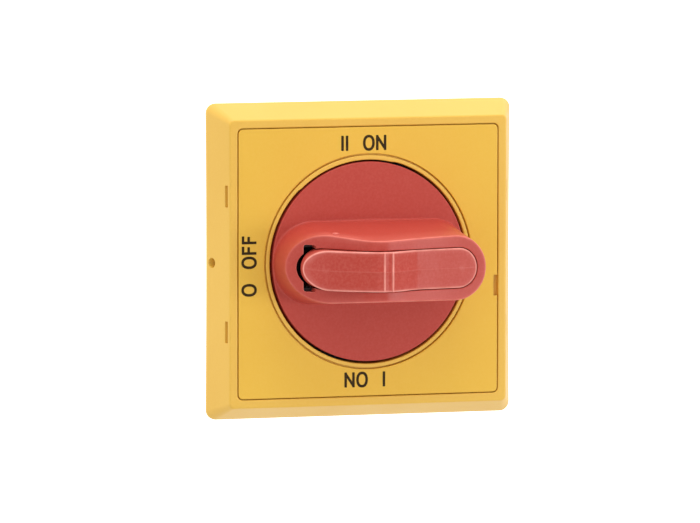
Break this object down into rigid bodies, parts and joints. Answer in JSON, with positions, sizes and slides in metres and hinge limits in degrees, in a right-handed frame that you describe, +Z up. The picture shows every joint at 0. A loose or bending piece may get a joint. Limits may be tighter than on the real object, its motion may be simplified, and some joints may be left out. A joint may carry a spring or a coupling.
{
  "type": "manual transfer switch handle",
  "caption": "Square door-mounted escutcheon with a turning selector knob, three positions, and a padlock lever set in the grip of the knob.",
  "frame": {"origin": "on the spindle axis, at the door plane (the back face of the escutcheon)", "axes": "+X to the right, +Z up, the front of the handle faces -Y, and the spindle lies along Y"},
  "size_m": [0.065, 0.0456, 0.065],
  "materials": {
    "housing_yellow": "fine-textured moulded yellow",
    "plate_yellow": "smooth moulded yellow",
    "black_plastic": "glass-filled moulded black",
    "zinc_steel": "zinc plated",
    "brass": "turned",
    "rubber": "soft black",
    "ring_steel": "stamped",
    "bush_acetal": "natural acetal",
    "slider_white": "natural moulded",
    "spring_steel": "bright wire and strip",
    "black_steel": "black oxide",
    "knob_red": "satin moulded red",
    "lever_red": "satin moulded red"
  },
  "bodies": {
    "root": {"escutcheon_housing": "housing_yellow", "legend_plate": "plate_yellow", "rear_cover": "black_plastic", "cover_screws": "zinc_steel", "threaded_inserts": "brass", "panel_gasket": "rubber", "index_ring": "ring_steel", "index_ring_screws": "zinc_steel", "bearing_bush": "bush_acetal", "shaft_seal": "rubber", "interlock_spring": "spring_steel"},
    "interlock": {"interlock_slider": "slider_white"},
    "rotor": {"knob": "knob_red", "rotor_hub": "black_plastic", "hub_screws": "zinc_steel", "shaft_coupler": "brass", "coupler_grub_screw": "black_steel", "wave_washer": "spring_steel", "retaining_ring": "spring_steel", "lever_pin": "spring_steel", "bolt_spring": "spring_steel"},
    "padlock_lever": {"padlock_lever": "lever_red"},
    "lock_bolt": {"lock_bolt": "ring_steel"}
  },
  "joints": [
    {"name": "knob_turn", "type": "hinge", "parent": "root", "child": "rotor", "pos_m": [0, 0, 0], "axis": [0, 1, 0], "range_deg": [-90, 90]},
    {"name": "lever_tilt", "type": "hinge", "parent": "rotor", "child": "padlock_lever", "pos_m": [-0.0045, -0.0195, 0], "axis": [0, 0, -1], "range_deg": [0, 32], "stiffness_Nm_per_rad": 0.004, "springref_deg": -20.05},
    {"name": "bolt_drop", "type": "slide", "parent": "rotor", "child": "lock_bolt", "axis": [0, 1, 0], "range_m": [0, 0.0032], "deforming": ["bolt_spring"]},
    {"name": "release_push", "type": "slide", "parent": "root", "child": "interlock", "axis": [1, 0, 0], "range_m": [0, 0.002], "stiffness_N_per_m": 150, "springref_m": -0.002, "deforming": ["interlock_spring"]}
  ],
  "couplings": [
    {"joint": "bolt_drop", "follows": "lever_tilt", "m_per_rad": 0.00572}
  ]
}
